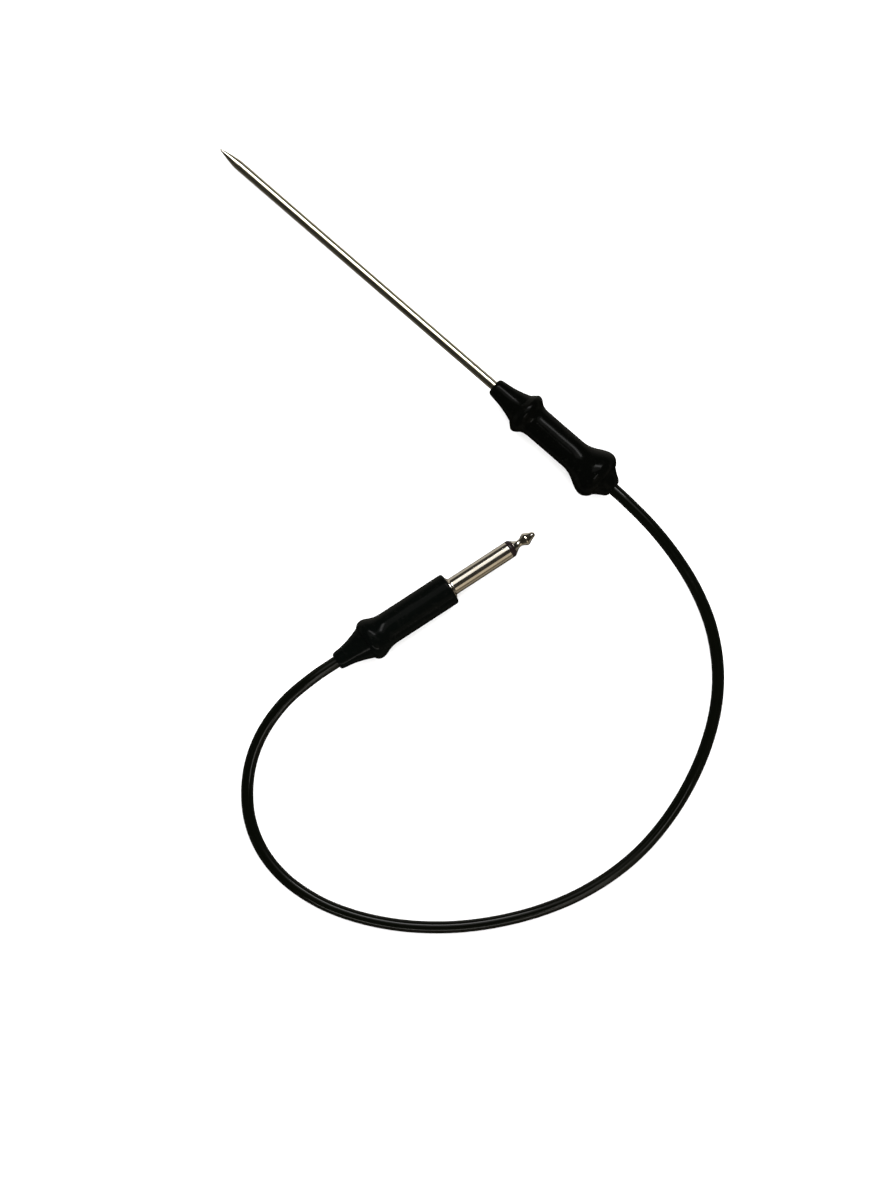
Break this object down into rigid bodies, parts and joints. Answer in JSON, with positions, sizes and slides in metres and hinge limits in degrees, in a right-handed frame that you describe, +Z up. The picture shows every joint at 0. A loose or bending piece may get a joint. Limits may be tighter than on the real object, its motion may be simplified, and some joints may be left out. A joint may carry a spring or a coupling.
{
  "type": "needle probe with plug",
  "caption": "Pointed steel needle probe in a moulded rubber handle, on a short cord that ends in a moulded 6.35 mm mono plug.",
  "frame": {"origin": "on the surface that the probe lies on, under the middle of the needle and handle", "axes": "+X runs along the needle towards its point, +Z is up, and the cord's loop and the plug lie on the +Y side of the handle's line"},
  "size_m": [0.2797, 0.1931, 0.0186],
  "materials": {
    "needle_steel": "polished",
    "nickel": "polished",
    "handle_rubber": "gloss",
    "plug_rubber": "satin",
    "cord_jacket": "gloss",
    "ring_plastic": "gloss",
    "brass": "satin",
    "copper": "satin",
    "solder": "satin",
    "fibre": "matte",
    "carrier_plastic": "matte",
    "sleeve_plastic": "satin",
    "shrink_sleeve": "satin",
    "core_red": "satin",
    "core_white": "satin",
    "bead_glass": "gloss",
    "potting": "matte"
  },
  "bodies": {
    "root": {"needle_tube": "needle_steel", "needle_point": "needle_steel", "sensor_bead": "bead_glass", "sensor_potting": "potting", "sensor_lead_a": "copper", "sensor_lead_b": "copper", "lead_sleeve_a": "sleeve_plastic", "lead_sleeve_b": "sleeve_plastic", "splice_crimp_a": "brass", "splice_crimp_b": "brass", "splice_sleeve_a": "shrink_sleeve", "splice_sleeve_b": "shrink_sleeve", "core_wire_a": "core_red", "core_wire_b": "core_white", "anchor_collar": "brass", "splice_carrier": "carrier_plastic", "cord_ferrule": "brass", "nose_boot": "handle_rubber", "grip": "handle_rubber", "rear_boot": "handle_rubber", "cord": "cord_jacket", "plug_tip": "nickel", "tip_insulator": "ring_plastic", "plug_barrel": "nickel", "sleeve_lug": "brass", "rear_washer": "fibre", "tip_lug": "brass", "tip_solder": "solder", "sleeve_solder": "solder", "tip_wire": "core_red", "sleeve_wire": "core_white", "plug_grip": "plug_rubber", "plug_boot": "plug_rubber"}
  },
  "joints": []
}
